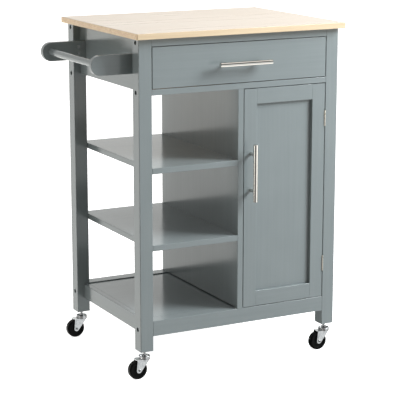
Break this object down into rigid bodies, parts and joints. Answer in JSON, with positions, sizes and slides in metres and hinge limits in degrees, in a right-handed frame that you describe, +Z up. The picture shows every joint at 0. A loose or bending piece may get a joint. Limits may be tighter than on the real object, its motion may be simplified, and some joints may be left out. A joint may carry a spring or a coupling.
{
  "type": "kitchen island cart",
  "caption": "Rolling kitchen cart with a wooden worktop, a wide drawer, open side shelves, a panelled cupboard door, a towel rail and swivel casters.",
  "frame": {"origin": "on the floor, under the centre of the whole cart's bounding box, towel rail and handles included", "axes": "+X to the right seen from the front, +Y to the back, +Z up"},
  "size_m": [0.69, 0.495, 0.89],
  "materials": {
    "painted_wood": "satin blue-grey paint over pine and board",
    "top_wood": "pale oiled wood with a fine straight grain",
    "bare_wood": "bare sanded pine",
    "zinc_steel": "bright zinc plated",
    "handle_steel": "satin nickel",
    "hinge_brass": "plated brass",
    "black_steel": "black oxide",
    "catch_plastic": "white moulded plastic",
    "wheel_plastic": "black moulded wheel"
  },
  "bodies": {
    "frame": {"tabletop": "top_wood", "leg_front_left": "painted_wood", "leg_front_right": "painted_wood", "leg_back_left": "painted_wood", "leg_back_right": "painted_wood", "front_top_rail": "painted_wood", "front_drawer_rail": "painted_wood", "front_bottom_rail": "painted_wood", "back_top_rail": "painted_wood", "back_drawer_rail": "painted_wood", "back_bottom_rail": "painted_wood", "left_apron": "painted_wood", "left_bottom_rail": "painted_wood", "right_side_panel": "painted_wood", "bottom_board": "painted_wood", "divider": "painted_wood", "middle_shelf": "painted_wood", "lower_shelf": "painted_wood", "cabinet_back_panel": "painted_wood", "drawer_bay_back_panel": "painted_wood", "cabinet_shelf": "painted_wood", "shelf_pegs": "zinc_steel", "wood_dowels": "bare_wood", "furniture_bolts": "black_steel", "barrel_nuts": "zinc_steel", "tabletop_screws": "zinc_steel", "towel_bracket_front": "painted_wood", "towel_bracket_back": "painted_wood", "towel_rod": "painted_wood", "slide_channels": "zinc_steel", "magnetic_catch": "catch_plastic", "hinge_frame_leaves": "hinge_brass", "hinge_pins": "hinge_brass", "caster_stems": "zinc_steel"},
    "slide_cages": {"slide_cages": "zinc_steel"},
    "drawer": {"drawer_front": "painted_wood", "drawer_side_left": "bare_wood", "drawer_side_right": "bare_wood", "drawer_back": "bare_wood", "drawer_bottom": "bare_wood", "slide_runners": "zinc_steel", "drawer_handle": "handle_steel", "drawer_handle_screws": "zinc_steel"},
    "door": {"door_stile_handle_side": "painted_wood", "door_stile_hinge_side": "painted_wood", "door_rail_top": "painted_wood", "door_rail_bottom": "painted_wood", "door_panel": "painted_wood", "hinge_door_leaves": "hinge_brass", "door_handle": "handle_steel", "catch_strike": "zinc_steel", "door_handle_screws": "zinc_steel"},
    "caster_front_left": {"caster_fork_front_left": "zinc_steel"},
    "wheel_front_left": {"caster_wheel_front_left": "wheel_plastic"},
    "caster_front_right": {"caster_fork_front_right": "zinc_steel"},
    "wheel_front_right": {"caster_wheel_front_right": "wheel_plastic"},
    "caster_back_left": {"caster_fork_back_left": "zinc_steel"},
    "wheel_back_left": {"caster_wheel_back_left": "wheel_plastic"},
    "caster_back_right": {"caster_fork_back_right": "zinc_steel"},
    "wheel_back_right": {"caster_wheel_back_right": "wheel_plastic"}
  },
  "joints": [
    {"name": "drawer_slide", "type": "slide", "parent": "frame", "child": "drawer", "axis": [0, -1, 0], "range_m": [0, 0.26]},
    {"name": "slide_cage_roll", "type": "slide", "parent": "frame", "child": "slide_cages", "axis": [0, -1, 0], "range_m": [0, 0.13]},
    {"name": "door_hinge", "type": "hinge", "parent": "frame", "child": "door", "pos_m": [0.2962, -0.215, 0.4432], "axis": [0, 0, 1], "range_deg": [0, 175]},
    {"name": "swivel_front_left", "type": "hinge", "parent": "frame", "child": "caster_front_left", "pos_m": [-0.225, -0.1965, 0.0525], "axis": [0, 0, 1], "continuous": true},
    {"name": "roll_front_left", "type": "hinge", "parent": "caster_front_left", "child": "wheel_front_left", "pos_m": [-0.245, -0.1965, 0.025], "axis": [0, 1, 0], "continuous": true},
    {"name": "swivel_front_right", "type": "hinge", "parent": "frame", "child": "caster_front_right", "pos_m": [0.315, -0.1965, 0.0525], "axis": [0, 0, 1], "continuous": true},
    {"name": "roll_front_right", "type": "hinge", "parent": "caster_front_right", "child": "wheel_front_right", "pos_m": [0.295, -0.1965, 0.025], "axis": [0, 1, 0], "continuous": true},
    {"name": "swivel_back_left", "type": "hinge", "parent": "frame", "child": "caster_back_left", "pos_m": [-0.225, 0.2115, 0.0525], "axis": [0, 0, 1], "continuous": true},
    {"name": "roll_back_left", "type": "hinge", "parent": "caster_back_left", "child": "wheel_back_left", "pos_m": [-0.245, 0.2115, 0.025], "axis": [0, 1, 0], "continuous": true},
    {"name": "swivel_back_right", "type": "hinge", "parent": "frame", "child": "caster_back_right", "pos_m": [0.315, 0.2115, 0.0525], "axis": [0, 0, 1], "continuous": true},
    {"name": "roll_back_right", "type": "hinge", "parent": "caster_back_right", "child": "wheel_back_right", "pos_m": [0.295, 0.2115, 0.025], "axis": [0, 1, 0], "continuous": true}
  ],
  "couplings": [
    {"joint": "slide_cage_roll", "follows": "drawer_slide", "ratio": 0.5}
  ]
}
